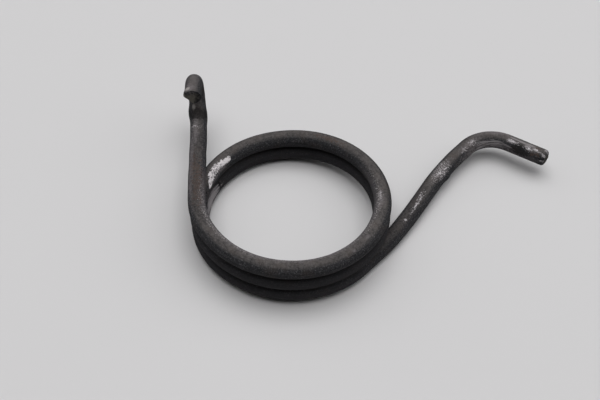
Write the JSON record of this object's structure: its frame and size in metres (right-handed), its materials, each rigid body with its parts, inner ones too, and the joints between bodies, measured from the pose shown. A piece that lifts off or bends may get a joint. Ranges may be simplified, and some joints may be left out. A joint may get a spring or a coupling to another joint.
{
  "type": "torsion spring",
  "caption": "Left-hand torsion spring of round steel wire, wound close, with a long arm folded into a closed hook and a lower leg that rises and turns down into a straight pin end.",
  "frame": {"origin": "on the coil's axis, level with the underside of the lowest wound turn where the leg leaves it", "axes": "+Z along the coil's axis, up towards the hooked arm; the arm leaves the coil on the -X side and runs towards +Y; the lower leg runs out towards +X"},
  "size_m": [0.0863, 0.0575, 0.0214],
  "materials": {
    "spring_steel": "hard-drawn spring wire under a dull black-brown oxide scale, worn bright where the turns rub"
  },
  "bodies": {
    "root": {"torsion_spring": "spring_steel"}
  },
  "joints": []
}
